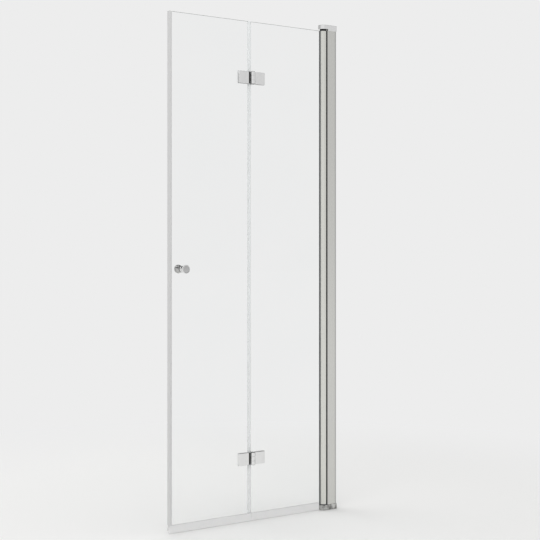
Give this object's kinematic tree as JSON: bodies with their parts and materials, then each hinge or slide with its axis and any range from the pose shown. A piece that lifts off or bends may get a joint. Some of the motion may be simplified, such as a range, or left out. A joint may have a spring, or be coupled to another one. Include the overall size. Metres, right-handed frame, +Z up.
{
  "type": "bifold shower door",
  "caption": "Frameless bifold shower door: a wall post with a rising pivot tube, two clear glass leaves joined by barrel hinges, a knob on each face, and seals on the free edges.",
  "frame": {"origin": "on the wall face at floor level, in the middle plane of the glass", "axes": "+X out of the door into the wall, so the door runs along -X; -Y the room side, +Y the shower side; +Z up"},
  "size_m": [0.785, 0.068, 2],
  "materials": {
    "plain_aluminium": "as extruded",
    "bright_aluminium": "bright anodised",
    "chrome": "polished chrome plate",
    "steel": "stainless steel",
    "white_acetal": "moulded",
    "grey_nylon": "moulded",
    "black_nylon": "moulded",
    "black_rubber": "extruded",
    "dark_gasket": "extruded",
    "grey_seal": "translucent",
    "clear_seal": "translucent",
    "magnet_strip": "extruded",
    "clear_glass": "clear toughened"
  },
  "bodies": {
    "wall_frame": {"wall_channel": "plain_aluminium", "post_profile": "bright_aluminium", "post_seals": "black_rubber", "top_cap": "chrome", "bottom_cap": "chrome", "cap_screws": "steel", "adjusting_screws": "steel", "pivot_pin": "steel", "fixed_cam": "white_acetal", "top_bush": "white_acetal"},
    "top_pivot": {"top_spindle": "steel"},
    "wall_leaf": {"pivot_tube": "bright_aluminium", "rising_cam": "grey_nylon", "top_plug": "black_nylon", "plug_screws": "steel", "room_gasket": "dark_gasket", "shower_gasket": "dark_gasket", "setting_block": "grey_nylon", "wall_leaf_glass": "clear_glass", "wall_leaf_sweep": "grey_seal", "upper_barrel_wing": "chrome", "lower_barrel_wing": "chrome", "upper_wall_clamp": "chrome", "lower_wall_clamp": "chrome", "wall_leaf_pads": "black_rubber", "wall_leaf_screws": "steel", "hinge_pins": "steel", "end_caps": "black_nylon"},
    "folding_leaf": {"folding_leaf_glass": "clear_glass", "folding_leaf_sweep": "grey_seal", "middle_seal": "clear_seal", "closing_seal": "grey_seal", "closing_magnet": "magnet_strip", "upper_knuckle_wing": "chrome", "lower_knuckle_wing": "chrome", "upper_slot_strip": "black_nylon", "lower_slot_strip": "black_nylon", "upper_fold_clamp": "chrome", "lower_fold_clamp": "chrome", "folding_leaf_pads": "black_rubber", "folding_leaf_screws": "steel", "room_knob": "chrome", "shower_knob": "chrome", "knob_stud": "steel", "knob_washers": "black_rubber"}
  },
  "joints": [
    {"name": "wall_pivot", "type": "hinge", "parent": "wall_frame", "child": "top_pivot", "pos_m": [-0.0555, 0, 0], "axis": [0, 0, -1], "range_deg": [0, 90]},
    {"name": "leaf_rise", "type": "slide", "parent": "top_pivot", "child": "wall_leaf", "axis": [0, 0, 1], "range_m": [0, 0.005]},
    {"name": "leaf_fold", "type": "hinge", "parent": "wall_leaf", "child": "folding_leaf", "pos_m": [-0.412, -0.0135, 0], "axis": [0, 0, 1], "range_deg": [0, 175]}
  ],
  "couplings": [
    {"joint": "leaf_rise", "follows": "wall_pivot", "m_per_rad": 0.003183}
  ]
}
